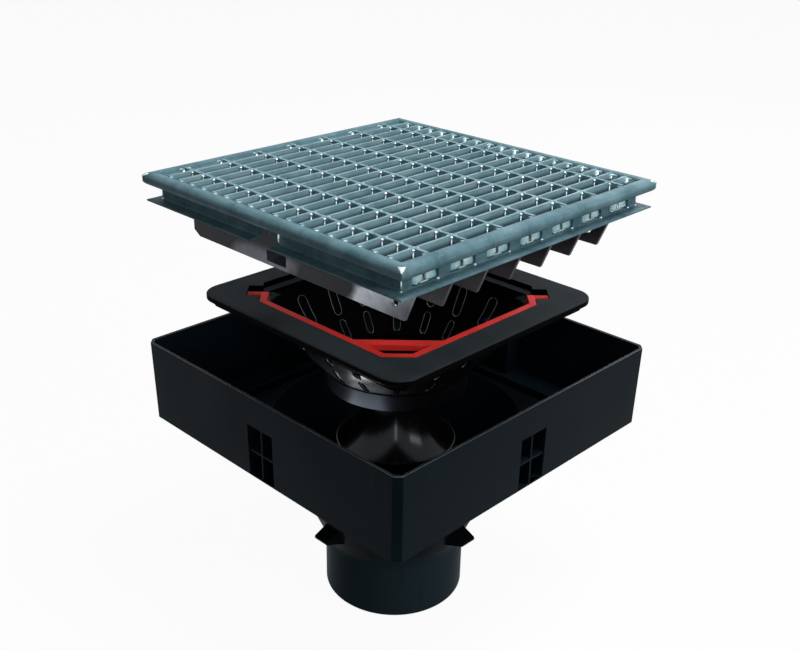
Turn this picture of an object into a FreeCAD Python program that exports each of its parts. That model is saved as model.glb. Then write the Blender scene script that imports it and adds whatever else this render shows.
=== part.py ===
"""Yard floor drain: moulded square body, slotted silt bucket with hinged bail, bell trap and mesh grating.

Millimetres, +Z up. The origin is the centre of the outlet pipe's lower end.
The bucket and the grating stand lifted above their seats by bucket_lift and grating_lift.
At zero they rest there.
"""
import FreeCAD
import Part
import math
import os

# Body: outlet pipe, funnel and square tray
pipe_outer_radius = 55.0
pipe_wall = 3.2
pipe_end_chamfer = 2.0
funnel_start_height = 50.0
funnel_wall = 3.2
funnel_mouth_radius = 96.0
funnel_blend_radius = 22.0
tray_foot_height = 147.0
tray_wall_height = 63.0
tray_rim_half = 131.6
tray_draft = 1.0
tray_wall = 2.2
tray_floor = 3.0
tray_corner_chamfer = 4.5

# Body: water trough and standpipe of the trap
trough_floor_height = 22.0
trough_floor = 2.5
standpipe_radius = 25.0
standpipe_wall = 2.5
standpipe_top_height = 56.0

# Body: seat of the bucket, hollow brackets of the grating and anchor lugs
bucket_seat_rise = 6.0
bucket_seat_thickness = 2.5
bucket_seat_overhang = 2.0
bucket_seat_corner = 12.0
bracket_width = 30.0
bracket_wall = 2.0
bracket_rib = 2.0
bracket_rib_recess = 0.8
bracket_floor = 1.2
bracket_bar_clearance = 1.0
lug_height = 71.8
lug_tip_thickness = 2.4
lug_root_thickness = 22.0
lug_width = 14.0
lug_reach = 78.5

# Bucket
bucket_lift = 90.0
flange_half = 103.6
flange_thickness = 4.5
flange_corner = 17.0
flange_edge_round = 1.0
skirt_depth = 5.0
skirt_thickness = 2.0
skirt_clearance = 1.5
opening_half = 83.0
opening_front_chamfer = 16.0
opening_pivot_chamfer = 25.0
bail_ledge_width = 7.0
bail_ledge_thickness = 2.5
bail_ledge_margin = 4.0
bowl_wall = 2.0
bowl_corner = 20.0
bowl_depth = 64.0
bowl_floor = 2.5
bowl_taper_depth = 52.0
bowl_foot_radius = 52.5
bowl_foot_step = 0.3
collar_height = 12.0
collar_thickness = 1.2
slot_count = 16
slot_width = 7.5
slot_top_depth = 11.0
slot_bottom_depth = 33.0
low_slot_width = 5.5
low_slot_top_depth = 36.5
low_slot_bottom_depth = 50.0

# Bail and its pivots on the flange's left to right diagonal
bail_side_clearance = 0.5
bail_rest_clearance = 0.3
bail_strip_width = 5.0
bail_grip_width = 8.0
bail_grip_reach = 88.0
pivot_drop = 4.0
pivot_barrel_radius = 3.5
pivot_pin_radius = 2.2
pivot_pin_length = 6.0
pivot_running_clearance = 0.08
pivot_end_clearance = 0.3
pivot_pocket_clearance = 0.3
pivot_pocket_side = 2.8
pivot_pocket_back = 5.2
pivot_pocket_length = 10.3
pivot_boss_wall = 2.5

# Bell of the trap, below the bucket
bell_wall = 2.0
bell_neck_radius = 20.0
bell_foot_radius = 46.5
bell_height = 57.0
bell_foot_height = 7.0
bell_foot_step = 1.6
bell_stub_radius = 10.0
bell_stub_clearance = 0.3

# Grating
grating_lift = 129.0
grating_side_clearance = 2.4
grating_corner_round = 1.5
nose_width = 9.0
nose_height = 9.0
nose_inner_round = 2.0
dip_width = 4.5
dip_depth = 8.0
web_thickness = 3.5
web_height = 10.2
web_top_fillet = 3.0
web_foot_fillet = 1.0
edge_flange_thickness = 1.3
edge_flange_tip = 1.0
edge_flange_setback = 1.7
bearing_count = 7
bearing_thickness = 2.6
bearing_depth = 47.6
bearing_front_slope = 11.5
bearing_back_setback = 4.5
bearing_back_corner = 6.5
bearing_back_corner_height = 4.0
cross_count = 18
cross_thickness = 2.0
cross_depth = 18.0
end_window_width = 22.0
end_window_margin = 0.7
catch_notch_width = 21.0
bar_window_width = 20.0
bar_window_height = 7.6
bar_window_place = 16.5
bar_window_sill = 3.0
catch_box_depth = 10.0
catch_box_wall = 1.5
bar_hole_radius = 3.2
bar_hole_inset = 20.0
bar_hole_height = 10.2

# Heights and widths that follow from the sizes above
pipe_inner_radius = pipe_outer_radius - pipe_wall
rim_height = tray_foot_height + tray_wall_height
tray_floor_top = tray_foot_height + tray_floor
bucket_seat_height = tray_floor_top + bucket_seat_rise
flange_under = bucket_seat_height + bucket_lift
flange_top = flange_under + flange_thickness
bowl_bottom = flange_under - bowl_depth
pivot_height = flange_top - pivot_drop
edge_height = nose_height + web_height + edge_flange_thickness
grating_seat_height = rim_height - edge_height
grating_top = rim_height + grating_lift
grating_half = tray_rim_half - tray_wall - grating_side_clearance
grating_inner_half = grating_half - nose_width - dip_width
bearing_pitch = 2 * grating_inner_half / bearing_count
cross_pitch = 2 * grating_inner_half / cross_count
opening_front_reach = (2 * opening_half - opening_front_chamfer) / math.sqrt(2)
opening_pivot_reach = (2 * opening_half - opening_pivot_chamfer) / math.sqrt(2)
pivot_pocket_reach = opening_pivot_reach + pivot_pocket_length
full_circle = 360.0


def at(x, y, z):
    """A point or direction."""
    return FreeCAD.Vector(x, y, z)


def block(x_low, x_high, y_low, y_high, z_low, z_high):
    """Rectangular block between two corners."""
    return Part.makeBox(x_high - x_low, y_high - y_low, z_high - z_low, at(x_low, y_low, z_low))


def prism(outline, z_low, z_high):
    """Upright prism on a closed outline of (x, y) points."""
    points = [at(x, y, z_low) for x, y in outline]
    face = Part.Face(Part.makePolygon(points + points[:1]))
    return face.extrude(at(0, 0, z_high - z_low))


def turned(shape, angle):
    """Copy of a shape turned about the Z axis."""
    copy = shape.copy()
    copy.rotate(at(0, 0, 0), at(0, 0, 1), angle)
    return copy


def revolved(outline):
    """Solid of revolution about Z of a closed outline of (radius, height) points."""
    points = [at(radius, 0, height) for radius, height in outline]
    face = Part.Face(Part.makePolygon(points + points[:1]))
    return face.revolve(at(0, 0, 0), at(0, 0, 1), full_circle)


def cut_square(half, front_leg, side_leg):
    """Square outline with cut corners: front_leg on the front and back ones, side_leg on the other two."""
    return [
        (-half, -half + front_leg),
        (-half + front_leg, -half),
        (half - side_leg, -half),
        (half, -half + side_leg),
        (half, half - front_leg),
        (half - front_leg, half),
        (-half + side_leg, half),
        (-half, half - side_leg),
    ]


def wire_at(outline, height):
    """Closed wire through an outline's points at one height."""
    points = [at(x, y, height) for x, y in outline]
    return Part.makePolygon(points + points[:1])


def rounded_square(half, radius, height):
    """Closed wire of a square with round corners."""
    flat = half - radius
    middle = flat + radius * math.sqrt(0.5)
    edges = []
    for quarter in range(4):
        side = Part.LineSegment(at(half, -flat, height), at(half, flat, height))
        corner = Part.Arc(at(half, flat, height), at(middle, middle, height), at(flat, half, height))
        for piece in (side, corner):
            edges.append(turned(piece.toShape(), 90 * quarter))
    return Part.Wire(edges)


def rounded_plate(half, radius, z_low, z_high):
    """Square plate with round corners."""
    return Part.Face(rounded_square(half, radius, z_low)).extrude(at(0, 0, z_high - z_low))


def tray_half(height):
    """Half the outer width of the drafted tray at a height."""
    share = (height - tray_foot_height) / tray_wall_height
    return tray_rim_half - tray_draft + tray_draft * share


def tray_prism(inset, z_low, z_high):
    """Drafted square of the tray, set in from its outer face."""
    leg = tray_corner_chamfer - inset * (2 - math.sqrt(2))
    wires = []
    for height in (z_low, z_high):
        wires.append(wire_at(cut_square(tray_half(height) - inset, leg, leg), height))
    return Part.makeLoft(wires, True, True)


def funnel_inner_radius(height):
    """Inner radius of the funnel's cone at a height."""
    share = (height - funnel_start_height) / (tray_floor_top - funnel_start_height)
    return pipe_inner_radius + (funnel_mouth_radius - pipe_inner_radius) * share


def make_funnel():
    """Outlet pipe and funnel, one wall of revolution with a blended waist."""
    spread = (funnel_mouth_radius - pipe_inner_radius) / (tray_floor_top - funnel_start_height)
    level_wall = funnel_wall * math.hypot(1, spread)
    outer_start = funnel_start_height + (pipe_wall - level_wall) / spread
    shell = revolved([
        (pipe_inner_radius, 0),
        (pipe_outer_radius - pipe_end_chamfer, 0),
        (pipe_outer_radius, pipe_end_chamfer),
        (pipe_outer_radius, outer_start),
        (funnel_inner_radius(tray_foot_height) + level_wall, tray_foot_height),
        (funnel_mouth_radius + level_wall, tray_floor_top),
        (funnel_mouth_radius, tray_floor_top),
        (pipe_inner_radius, funnel_start_height),
    ])
    waist = []
    for edge in shell.Edges:
        if type(edge.Curve).__name__ == "Circle":
            on_outer = abs(edge.Curve.Center.z - outer_start) < 1e-6
            on_inner = abs(edge.Curve.Center.z - funnel_start_height) < 1e-6
            if on_outer or on_inner:
                waist.append(edge)
    return shell.makeFillet(funnel_blend_radius, waist)


def make_funnel_void():
    """The space inside the funnel's cone."""
    return revolved([
        (0, funnel_start_height),
        (pipe_inner_radius, funnel_start_height),
        (funnel_mouth_radius, tray_floor_top),
        (0, tray_floor_top),
    ])


def make_standpipe():
    """Trough floor across the pipe with the standpipe that the bell covers."""
    bore = standpipe_radius - standpipe_wall
    seated = pipe_inner_radius + pipe_wall / 2
    trough_top = trough_floor_height + trough_floor
    return revolved([
        (bore, trough_floor_height),
        (seated, trough_floor_height),
        (seated, trough_top),
        (standpipe_radius, trough_top),
        (standpipe_radius, standpipe_top_height),
        (bore, standpipe_top_height),
    ])


def make_bracket_parts():
    """Inner block, outer pocket and cross ribs of one hollow bracket, on the +X wall."""
    inner_face = grating_inner_half + bracket_bar_clearance
    pocket_face = inner_face + bracket_wall
    wall_middle = tray_half(tray_foot_height) - tray_wall / 2
    far_face = tray_rim_half + tray_wall
    half = bracket_width / 2
    pocket_half = half - bracket_wall
    pocket_top = grating_seat_height - bracket_wall
    pocket_foot = tray_foot_height + bracket_floor
    inner = block(inner_face, wall_middle, -half, half, tray_foot_height, grating_seat_height)
    pocket = block(pocket_face, far_face, -pocket_half, pocket_half, pocket_foot, pocket_top)
    rib_face = tray_half(tray_foot_height) - bracket_rib_recess
    rib_root = pocket_face - bracket_wall / 2
    rib_half = bracket_rib / 2
    middle = (tray_foot_height + pocket_top) / 2
    rib_top = grating_seat_height - bracket_wall / 2
    rib_side = half - bracket_wall / 2
    upright = block(rib_root, rib_face, -rib_half, rib_half, tray_foot_height, rib_top)
    level = block(rib_root, rib_face, -rib_side, rib_side, middle - rib_half, middle + rib_half)
    return inner, pocket, [upright, level]


def make_lug():
    """One wedge-shaped anchor lug on the funnel's waist, on the +X side."""
    side = -lug_width / 2
    outline = [
        (pipe_outer_radius, lug_height - lug_root_thickness / 2),
        (lug_reach, lug_height - lug_tip_thickness / 2),
        (lug_reach, lug_height + lug_tip_thickness / 2),
        (pipe_outer_radius, lug_height + lug_root_thickness / 2),
    ]
    points = [at(x, side, z) for x, z in outline]
    lug = Part.Face(Part.makePolygon(points + points[:1])).extrude(at(0, lug_width, 0))
    return lug.cut(make_funnel_void())


def make_body():
    """The one moulded body: tray, funnel, pipe, trap standpipe, seats and lugs."""
    tray = tray_prism(0, tray_foot_height, rim_height)
    tray = tray.cut(tray_prism(tray_wall, tray_floor_top, rim_height))
    inner, pocket, ribs = make_bracket_parts()
    quarters = [90 * quarter for quarter in range(4)]
    tray = tray.multiFuse([turned(inner, angle) for angle in quarters])
    tray = tray.cut(Part.makeCompound([turned(pocket, angle) for angle in quarters]))
    added = [turned(rib, angle) for rib in ribs for angle in quarters]
    mouth = Part.makeCylinder(funnel_mouth_radius, tray_floor, at(0, 0, tray_foot_height))
    tray = tray.cut(mouth)
    seat_outer = flange_half - bucket_seat_overhang
    seat = rounded_plate(seat_outer, bucket_seat_corner, tray_floor_top - tray_floor / 2, bucket_seat_height)
    seat_inner = seat_outer - bucket_seat_thickness
    seat_corner = bucket_seat_corner - bucket_seat_thickness
    seat = seat.cut(rounded_plate(seat_inner, seat_corner, tray_foot_height, bucket_seat_height))
    lugs = [turned(make_lug(), angle) for angle in quarters]
    body = tray.multiFuse(added + lugs + [seat, make_funnel(), make_standpipe()])
    return body.removeSplitter()


def bowl_section(share, inset, height):
    """Section of the bowl, from a square with round corners at its top to a circle where its taper ends."""
    top_half = opening_half - bail_ledge_width + bowl_wall
    half = top_half - (top_half - bowl_foot_radius) * share ** 1.6
    straight = 0.05
    corner = bowl_corner + (bowl_foot_radius - straight - bowl_corner) * share ** 0.4
    return rounded_square(half - inset, corner - inset, height)


def make_bowl(inset):
    """Solid of the bowl's taper, to its outer or inner face."""
    wires = []
    for step in range(5):
        share = step / 4
        wires.append(bowl_section(share, inset, flange_under - bowl_taper_depth * share))
    return Part.makeLoft(wires, True, False)


def diagonal_block(near, far, half_width, z_low, z_high):
    """Block along the diagonal towards the left corner, from one reach to another."""
    return turned(block(near, far, -half_width, half_width, z_low, z_high), 135)


def diagonal_bar(radius, near, far, height):
    """Round bar along the same diagonal."""
    return turned(Part.makeCylinder(radius, far - near, at(near, 0, height), at(1, 0, 0)), 135)


def make_slot(width, top_depth, bottom_depth):
    """Cutter of one round-ended slot of the bowl, on the +X side."""
    near = bowl_foot_radius / 2
    half = width / 2
    high = flange_under - top_depth
    low = flange_under - bottom_depth
    sides = [
        Part.LineSegment(at(near, half, low + half), at(near, half, high - half)),
        Part.Arc(at(near, half, high - half), at(near, 0, high), at(near, -half, high - half)),
        Part.LineSegment(at(near, -half, high - half), at(near, -half, low + half)),
        Part.Arc(at(near, -half, low + half), at(near, 0, low), at(near, half, low + half)),
    ]
    face = Part.Face(Part.Wire([side.toShape() for side in sides]))
    return face.extrude(at(flange_half - near, 0, 0))


def make_skirt():
    """Locating skirt under the flange, inside the body's seat rib."""
    outer = flange_half - bucket_seat_overhang - bucket_seat_thickness - skirt_clearance
    inner = outer - skirt_thickness
    corner = bucket_seat_corner - bucket_seat_thickness
    low = flange_under - skirt_depth
    middle = flange_under + flange_thickness / 2
    wall = rounded_plate(outer, corner, low, middle)
    return wall.cut(rounded_plate(inner, corner - skirt_thickness, low, flange_under))


def make_bucket():
    """The moulded bucket: flange, skirt, bail ledge, slotted bowl, collar and pivot pockets."""
    flange = rounded_plate(flange_half, flange_corner, flange_under, flange_top)
    rim_edges = [edge for edge in flange.Edges if abs(edge.BoundBox.ZLength) < 1e-6]
    flange = flange.makeFillet(flange_edge_round, rim_edges).fuse(make_skirt())
    opening = cut_square(opening_half, opening_front_chamfer, opening_pivot_chamfer)
    flange = flange.cut(prism(opening, flange_under - bail_ledge_thickness, flange_top + flange_thickness))
    ledge_outline = cut_square(opening_half + bail_ledge_margin, opening_front_chamfer, opening_pivot_chamfer)
    ledge = prism(ledge_outline, flange_under - bail_ledge_thickness, flange_under)
    pocket_half = pivot_barrel_radius + pivot_pocket_side
    pocket_floor = pivot_height - pivot_barrel_radius - pivot_pocket_clearance
    boss_far = pivot_pocket_reach + pivot_pin_length + pivot_boss_wall
    boss_near = opening_pivot_reach - bail_ledge_width
    boss = diagonal_block(
        boss_near, boss_far, pocket_half + pivot_pocket_back + pivot_boss_wall,
        pocket_floor - bail_ledge_thickness, flange_under + flange_thickness / 2,
    )
    notch = block(
        boss_near - pivot_boss_wall, pivot_pocket_reach, -pocket_half - pivot_pocket_back, pocket_half,
        pocket_floor, flange_top + flange_thickness,
    )
    notches = [turned(notch, 135), turned(notch.mirror(at(0, 0, 0), at(0, 1, 0)), 315)]
    pin_room = pivot_pin_length + pivot_end_clearance
    hole = diagonal_bar(
        pivot_pin_radius + pivot_running_clearance, pivot_pocket_reach - bail_side_clearance,
        pivot_pocket_reach + pin_room, pivot_height,
    )
    collar = Part.makeCylinder(bowl_foot_radius + collar_thickness, collar_height, at(0, 0, bowl_bottom))
    outer = make_bowl(0)
    solid = flange.multiFuse([ledge, outer, collar, boss, turned(boss, 180)])
    solid = solid.cut(prism(opening, flange_under, flange_top + flange_thickness))
    solid = solid.cut(make_bowl(bowl_wall))
    foot_room = bowl_foot_radius - bowl_wall - bowl_foot_step
    foot_hollow = Part.makeCylinder(foot_room, collar_height, at(0, 0, bowl_bottom + bowl_floor))
    cuts = notches + [hole, turned(hole, 180), foot_hollow]
    stub_room = bell_stub_radius + bell_stub_clearance
    cuts.append(Part.makeCylinder(stub_room, bowl_floor, at(0, 0, bowl_bottom)))
    slots = [
        make_slot(slot_width, slot_top_depth, slot_bottom_depth),
        make_slot(low_slot_width, low_slot_top_depth, low_slot_bottom_depth),
    ]
    for slot in slots:
        cuts += [turned(slot, full_circle / slot_count * index) for index in range(slot_count)]
    for cut in cuts:
        solid = solid.cut(cut)
    return solid.removeSplitter()


def make_bail():
    """The bail: a strip along the two front edges, a grip across the corner, and two pivot pins."""
    low = flange_under + bail_rest_clearance
    half = opening_half - bail_side_clearance
    front_leg = opening_front_chamfer - bail_side_clearance * (2 - math.sqrt(2))
    side_leg = opening_pivot_chamfer - bail_side_clearance * (2 - math.sqrt(2))
    frame = prism(cut_square(half, front_leg, side_leg), low, flange_top)
    narrower = bail_strip_width * (2 - math.sqrt(2))
    hollow = prism(
        cut_square(half - bail_strip_width, front_leg - narrower, side_leg - narrower), low, flange_top,
    )
    front_side = turned(block(-2 * flange_half, 2 * flange_half, 0, 2 * flange_half, low, flange_top), 135)
    strip = frame.cut(hollow).common(front_side)
    grip_near = bail_grip_reach - bail_grip_width
    grip = block(grip_near, bail_grip_reach, -flange_half, flange_half, low, flange_top)
    grip = turned(grip, 225).common(frame)
    barrel_near = opening_pivot_reach - bail_side_clearance - bail_strip_width
    barrel_far = pivot_pocket_reach - pivot_end_clearance
    barrel = diagonal_bar(pivot_barrel_radius, barrel_near, barrel_far, pivot_height)
    pin = diagonal_bar(pivot_pin_radius, barrel_near, pivot_pocket_reach + pivot_pin_length, pivot_height)
    ends = [barrel, pin, turned(barrel, 180), turned(pin, 180)]
    return strip.multiFuse([grip] + ends).removeSplitter()


def make_bell():
    """The bell of the trap: a flared skirt, a stepped foot and a stub that plugs into the bucket's floor."""
    foot = bowl_bottom - bell_height
    foot_top = foot + bell_foot_height
    shoulder = bowl_bottom - bell_wall
    spread = bell_foot_radius - bell_foot_step - bell_neck_radius
    rise = shoulder - foot_top
    outer_low = at(bell_foot_radius - bell_foot_step, 0, foot_top)
    outer_high = at(bell_neck_radius, 0, shoulder)
    outer_waist = at(bell_neck_radius + spread * 0.28, 0, foot_top + rise * 0.45)
    inner_low = at(outer_low.x - bell_wall, 0, foot_top)
    inner_high = at(bell_neck_radius - bell_wall, 0, shoulder)
    inner_waist = at(outer_waist.x - bell_wall, 0, outer_waist.z)
    outer_curve = Part.BSplineCurve()
    outer_curve.interpolate([outer_low, outer_waist, outer_high])
    inner_curve = Part.BSplineCurve()
    inner_curve.interpolate([inner_high, inner_waist, inner_low])
    foot_inner = bell_foot_radius - bell_foot_step - bell_wall
    stub_top = bowl_bottom + bowl_floor
    corners_up = [
        inner_low, at(foot_inner, 0, foot), at(bell_foot_radius, 0, foot),
        at(bell_foot_radius, 0, foot_top), outer_low,
    ]
    corners_top = [
        outer_high, at(bell_neck_radius, 0, bowl_bottom), at(bell_stub_radius, 0, bowl_bottom),
        at(bell_stub_radius, 0, stub_top), at(0, 0, stub_top), at(0, 0, shoulder), inner_high,
    ]
    edges = Part.makePolygon(corners_up).Edges + [outer_curve.toShape()]
    edges += Part.makePolygon(corners_top).Edges + [inner_curve.toShape()]
    face = Part.Face(Part.Wire(Part.__sortEdges__(edges)))
    return face.revolve(at(0, 0, 0), at(0, 0, 1), full_circle)


def fillet_middle(level_end, upright_end):
    """Middle of the quarter arc that fills the corner between a level and an upright face."""
    share = math.sqrt(0.5)
    x = level_end.x + (upright_end.x - level_end.x) * share
    z = upright_end.z + (level_end.z - upright_end.z) * share
    return at(x, level_end.y, z)


def make_edge_profile():
    """One length of the grating's edge on the +X side: round nose, dip, web, foot flange and mitred ends."""
    nose_radius = nose_height / 2
    web_outer = grating_inner_half + web_thickness
    web_top = grating_top - nose_height
    web_foot = web_top - web_height
    bottom = grating_top - edge_height
    flange_tip = grating_half - edge_flange_setback
    nose_centre = grating_half - nose_radius
    start = -grating_half
    nose_low = at(nose_centre, start, web_top)
    nose_tip = at(grating_half, start, grating_top - nose_radius)
    nose_high = at(nose_centre, start, grating_top)
    neck_out = at(web_outer + web_top_fillet, start, web_top)
    neck_down = at(web_outer, start, web_top - web_top_fillet)
    neck_middle = fillet_middle(neck_out, neck_down)
    foot_up = at(web_outer, start, web_foot + web_foot_fillet)
    foot_out = at(web_outer + web_foot_fillet, start, web_foot)
    foot_middle = fillet_middle(foot_out, foot_up)
    nose_inner = grating_inner_half + dip_width
    dip_high = at(nose_inner, start, grating_top - nose_inner_round)
    crown = at(nose_inner + nose_inner_round, start, grating_top)
    crown_step = nose_inner_round * (1 - math.sqrt(0.5))
    crown_middle = at(nose_inner + crown_step, start, grating_top - crown_step)
    path = [
        foot_out,
        at(flange_tip, start, bottom + edge_flange_tip),
        at(flange_tip, start, bottom),
        at(grating_inner_half, start, bottom),
        at(grating_inner_half, start, grating_top - dip_depth),
        dip_high,
    ]
    edges = Part.makePolygon(path).Edges
    edges.append(Part.Arc(dip_high, crown_middle, crown).toShape())
    edges.append(Part.makeLine(crown, nose_high))
    edges.append(Part.Arc(nose_high, nose_tip, nose_low).toShape())
    edges.append(Part.makeLine(nose_low, neck_out))
    edges.append(Part.Arc(neck_out, neck_middle, neck_down).toShape())
    edges.append(Part.makeLine(neck_down, foot_up))
    edges.append(Part.Arc(foot_up, foot_middle, foot_out).toShape())
    face = Part.Face(Part.Wire(Part.__sortEdges__(edges)))
    length = face.extrude(at(0, 2 * grating_half, 0))
    reach = 2 * grating_half
    mitre = prism([(0, 0), (reach, -reach), (reach, reach)], bottom, grating_top)
    rounding = rounded_plate(grating_half, grating_corner_round, bottom, grating_top)
    return length.common(mitre).common(rounding)


def bearing_place(index):
    """X of a bearing bar's middle plane."""
    return bearing_pitch * (index - (bearing_count - 1) / 2)


def cross_place(index):
    """Y of a cross bar's middle plane."""
    return cross_pitch * (index - (cross_count - 1) / 2)


def make_edges():
    """The four edge lengths: windows at the bar ends in front and back, a catch notch left and right."""
    plain = make_edge_profile()
    window_top = grating_top - nose_height - end_window_margin
    window_foot = grating_top - nose_height - web_height + end_window_margin
    web_near = grating_inner_half - web_thickness
    web_far = grating_inner_half + 2 * web_thickness
    half_window = end_window_width / 2
    windows = []
    for index in range(bearing_count):
        low_side = bearing_place(index) - half_window
        high_side = bearing_place(index) + half_window
        windows.append(block(web_near, web_far, low_side, high_side, window_foot, window_top))
    half_notch = catch_notch_width / 2
    notch = block(web_near, grating_half, -half_notch, half_notch, grating_top - edge_height, window_top)
    windowed = plain.cut(Part.makeCompound(windows))
    notched = plain.cut(notch)
    return {
        "edge_right": notched,
        "edge_back": turned(windowed, 90),
        "edge_left": turned(notched, 180),
        "edge_front": turned(windowed, 270),
    }


def make_bearing_bar(index):
    """One bearing bar: an upright plate notched on top, with a sloped front end and tongues over the dip."""
    place = bearing_place(index)
    low = grating_top - bearing_depth
    web_foot = grating_top - edge_height
    front = -grating_inner_half
    back = grating_inner_half
    outline = [
        (front - dip_width, grating_top),
        (front - dip_width, grating_top - nose_inner_round),
        (front, grating_top - dip_depth),
        (front, web_foot),
        (front + bearing_front_slope, low),
        (back - bearing_back_setback - bearing_back_corner, low),
        (back - bearing_back_setback, low + bearing_back_corner_height),
        (back - bearing_back_setback, web_foot),
        (back, web_foot),
        (back, grating_top - dip_depth),
        (back + dip_width, grating_top - nose_inner_round),
        (back + dip_width, grating_top),
    ]
    side = place - bearing_thickness / 2
    points = [at(side, y, z) for y, z in outline]
    plate = Part.Face(Part.makePolygon(points + points[:1])).extrude(at(bearing_thickness, 0, 0))
    notches = []
    for cross in range(cross_count):
        middle = cross_place(cross)
        notches.append(block(
            place - bearing_thickness, place + bearing_thickness,
            middle - cross_thickness / 2, middle + cross_thickness / 2,
            grating_top - cross_depth / 2, grating_top + cross_thickness,
        ))
    plate = plate.cut(Part.makeCompound(notches))
    if index == 0:
        plate = add_catch_box(plate, place, 1, low)
    if index == bearing_count - 1:
        plate = add_catch_box(plate, place, -1, low)
    return plate


def add_catch_box(plate, place, inward, low):
    """Outermost bearing bar with its catch window, the box behind it and a round hole."""
    sill = low + bar_window_sill
    head = sill + bar_window_height
    half = bar_window_width / 2
    wall = catch_box_wall
    near = place - inward * bearing_thickness
    face = place + inward * bearing_thickness / 2
    deep = face + inward * catch_box_depth
    y_low = bar_window_place - half
    y_high = bar_window_place + half
    shell_x = sorted((place, deep + inward * wall))
    shell = block(*shell_x, y_low - wall, y_high + wall, sill - wall, head + wall)
    room = block(*sorted((near, deep)), y_low, y_high, sill, head)
    start = at(place - bearing_thickness, bar_hole_inset - grating_inner_half, low + bar_hole_height)
    hole = Part.makeCylinder(bar_hole_radius, 2 * bearing_thickness, start, at(1, 0, 0))
    return plate.fuse(shell).cut(room).cut(hole).removeSplitter()


def make_cross_bar(index):
    """One cross bar: an upright strip with tongues over the dip, notched below for the bearing bars."""
    middle = cross_place(index)
    low = grating_top - cross_depth
    tip = grating_inner_half + dip_width
    outline = [
        (-tip, grating_top),
        (-tip, grating_top - nose_inner_round),
        (-grating_inner_half, grating_top - dip_depth),
        (-grating_inner_half, low),
        (grating_inner_half, low),
        (grating_inner_half, grating_top - dip_depth),
        (tip, grating_top - nose_inner_round),
        (tip, grating_top),
    ]
    points = [at(x, middle - cross_thickness / 2, z) for x, z in outline]
    strip = Part.Face(Part.makePolygon(points + points[:1])).extrude(at(0, cross_thickness, 0))
    notches = []
    for bearing in range(bearing_count):
        place = bearing_place(bearing)
        notches.append(block(
            place - bearing_thickness / 2, place + bearing_thickness / 2,
            middle - cross_thickness, middle + cross_thickness,
            low - cross_thickness, grating_top - cross_depth / 2,
        ))
    return strip.cut(Part.makeCompound(notches))


def make_parts():
    """Every piece of the drain by its node name."""
    parts = {"body": make_body(), "bucket": make_bucket(), "bail": make_bail(), "trap_bell": make_bell()}
    parts.update(make_edges())
    for index in range(bearing_count):
        parts["bearing_bar_%d" % (index + 1)] = make_bearing_bar(index)
    for index in range(cross_count):
        parts["cross_bar_%02d" % (index + 1)] = make_cross_bar(index)
    return parts


def main():
    """Writes one STEP file for each piece."""
    os.makedirs("parts", exist_ok=True)
    for name, shape in make_parts().items():
        shape.exportStep("parts/%s.step" % name)
        print(name, "solids", len(shape.Solids), "valid", shape.isValid(), "volume", round(shape.Volume, 1))


main()
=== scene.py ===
"""Looks of the floor drain: galvanised grating, moulded black plastic, glossy trap bell and red bail.

Metres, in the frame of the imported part: +Z up, origin at the centre of the outlet pipe's lower end.
"""
import logging
import math
from dataclasses import dataclass, field, replace
from enum import Enum
from typing import Callable, Iterable

import bmesh
import bpy
from mathutils import Matrix, Vector


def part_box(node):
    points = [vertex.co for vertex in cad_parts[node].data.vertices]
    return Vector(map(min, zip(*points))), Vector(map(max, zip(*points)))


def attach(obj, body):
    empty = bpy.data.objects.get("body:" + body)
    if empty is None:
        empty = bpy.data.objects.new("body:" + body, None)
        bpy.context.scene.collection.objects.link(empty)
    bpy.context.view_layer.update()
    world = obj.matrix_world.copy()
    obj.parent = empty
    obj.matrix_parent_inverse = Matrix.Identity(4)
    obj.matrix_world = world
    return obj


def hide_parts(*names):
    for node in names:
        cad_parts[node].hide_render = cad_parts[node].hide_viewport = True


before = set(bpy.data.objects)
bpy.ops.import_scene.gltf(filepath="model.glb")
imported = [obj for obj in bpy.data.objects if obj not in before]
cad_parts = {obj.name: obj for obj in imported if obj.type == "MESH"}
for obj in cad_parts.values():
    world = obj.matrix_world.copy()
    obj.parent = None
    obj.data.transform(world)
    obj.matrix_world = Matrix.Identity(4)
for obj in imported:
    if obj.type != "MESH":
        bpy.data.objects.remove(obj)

Colour = tuple[float, float, float]
Point = tuple[float, float, float]
Pair = tuple[float, float]
Seat = tuple[Point, Point, Point]
Stops = tuple[Pair, ...]
Material = bpy.types.Material
Piece = bpy.types.Object
Socket = bpy.types.NodeSocket
Input = Socket | float | tuple[float, ...]
EVEN: Point = (1, 1, 1)
LEVEL: Point = (0, 0, 0)
QUARTERS = ((1, 1), (-1, 1), (-1, -1), (1, -1))
BAR_PITCH = 0.227 / 7
log = logging.getLogger("floor_drain")


class Noise(Enum):
    """Kinds of surface pattern that the finishes use."""

    CLOUD = "ShaderNodeTexNoise"
    CRYSTAL = "ShaderNodeTexVoronoi"


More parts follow.
